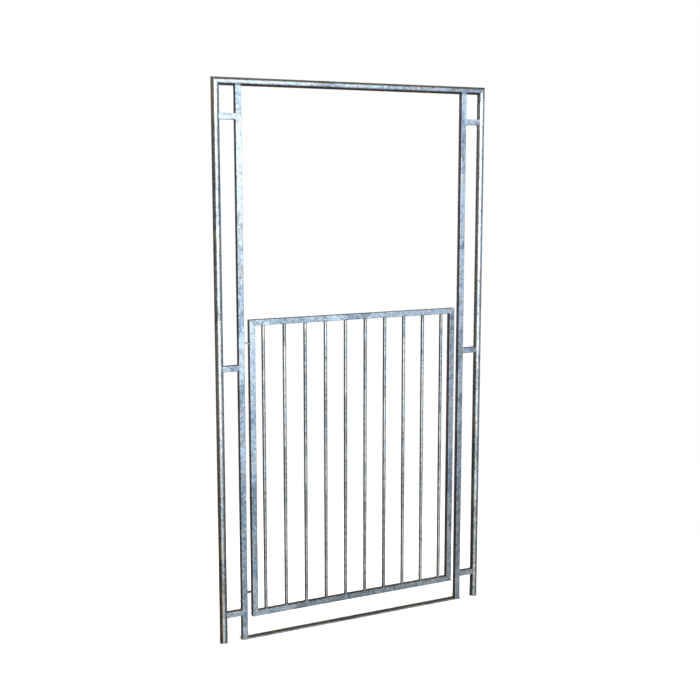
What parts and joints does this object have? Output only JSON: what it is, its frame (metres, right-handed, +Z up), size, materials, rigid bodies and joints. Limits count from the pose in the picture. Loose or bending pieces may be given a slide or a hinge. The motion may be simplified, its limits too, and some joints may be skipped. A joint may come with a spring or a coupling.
{
  "type": "livestock panel gate",
  "caption": "Walk-through livestock gate: barred leaf of square tube hung in a tall round-tube frame, with pin hinges and a barrel bolt on the rear.",
  "frame": {"origin": "on the ground, midway between the posts, in the plane of the tube axes", "axes": "+X along the gate towards the latch side, +Y to the rear (hinge and bolt side), +Z up"},
  "size_m": [1.3166, 0.0833, 2.4],
  "materials": {
    "galvanised_tube": "hot-dip galvanised, mottled spangle, weathered satin",
    "galvanised_fittings": "hot-dip galvanised plate, duller and slightly rough",
    "zinc_plated_hardware": "zinc plated, turned, satin with wear on the sliding surfaces"
  },
  "bodies": {
    "frame": {"outer_post_left": "galvanised_tube", "outer_post_right": "galvanised_tube", "top_rail": "galvanised_tube", "inner_post_left": "galvanised_tube", "inner_post_right": "galvanised_tube", "spacer_top_left": "galvanised_tube", "spacer_middle_left": "galvanised_tube", "spacer_bottom_left": "galvanised_tube", "spacer_top_right": "galvanised_tube", "spacer_middle_right": "galvanised_tube", "spacer_bottom_right": "galvanised_tube", "threshold_bar": "galvanised_tube", "foot_plug_left": "galvanised_fittings", "foot_plug_right": "galvanised_fittings", "hinge_lug_upper": "galvanised_fittings", "hinge_lug_lower": "galvanised_fittings", "hinge_pin_upper": "zinc_plated_hardware", "hinge_pin_lower": "zinc_plated_hardware", "hinge_washers_upper": "zinc_plated_hardware", "hinge_washers_lower": "zinc_plated_hardware", "hinge_roll_pin_upper": "zinc_plated_hardware", "hinge_roll_pin_lower": "zinc_plated_hardware", "latch_barrel": "galvanised_fittings"},
    "leaf": {"leaf_top_rail": "galvanised_tube", "leaf_bottom_rail": "galvanised_tube", "leaf_hinge_stile": "galvanised_tube", "leaf_latch_stile": "galvanised_tube", "leaf_bar_01": "galvanised_tube", "leaf_bar_02": "galvanised_tube", "leaf_bar_03": "galvanised_tube", "leaf_bar_04": "galvanised_tube", "leaf_bar_05": "galvanised_tube", "leaf_bar_06": "galvanised_tube", "leaf_bar_07": "galvanised_tube", "leaf_bar_08": "galvanised_tube", "leaf_bar_09": "galvanised_tube", "leaf_bar_10": "galvanised_tube", "hinge_eye_upper": "galvanised_fittings", "hinge_eye_lower": "galvanised_fittings", "hinge_plate_upper": "galvanised_fittings", "hinge_plate_lower": "galvanised_fittings", "latch_keeper": "galvanised_fittings"},
    "latch": {"latch_bolt": "zinc_plated_hardware", "latch_handle": "zinc_plated_hardware"}
  },
  "joints": [
    {"name": "leaf_swing", "type": "hinge", "parent": "frame", "child": "leaf", "pos_m": [-0.5322, 0.03, 0.75], "axis": [0, 0, 1], "range_deg": [0, 180]},
    {"name": "latch_slide", "type": "slide", "parent": "frame", "child": "latch", "axis": [-1, 0, 0], "range_m": [0, 0.057]}
  ]
}
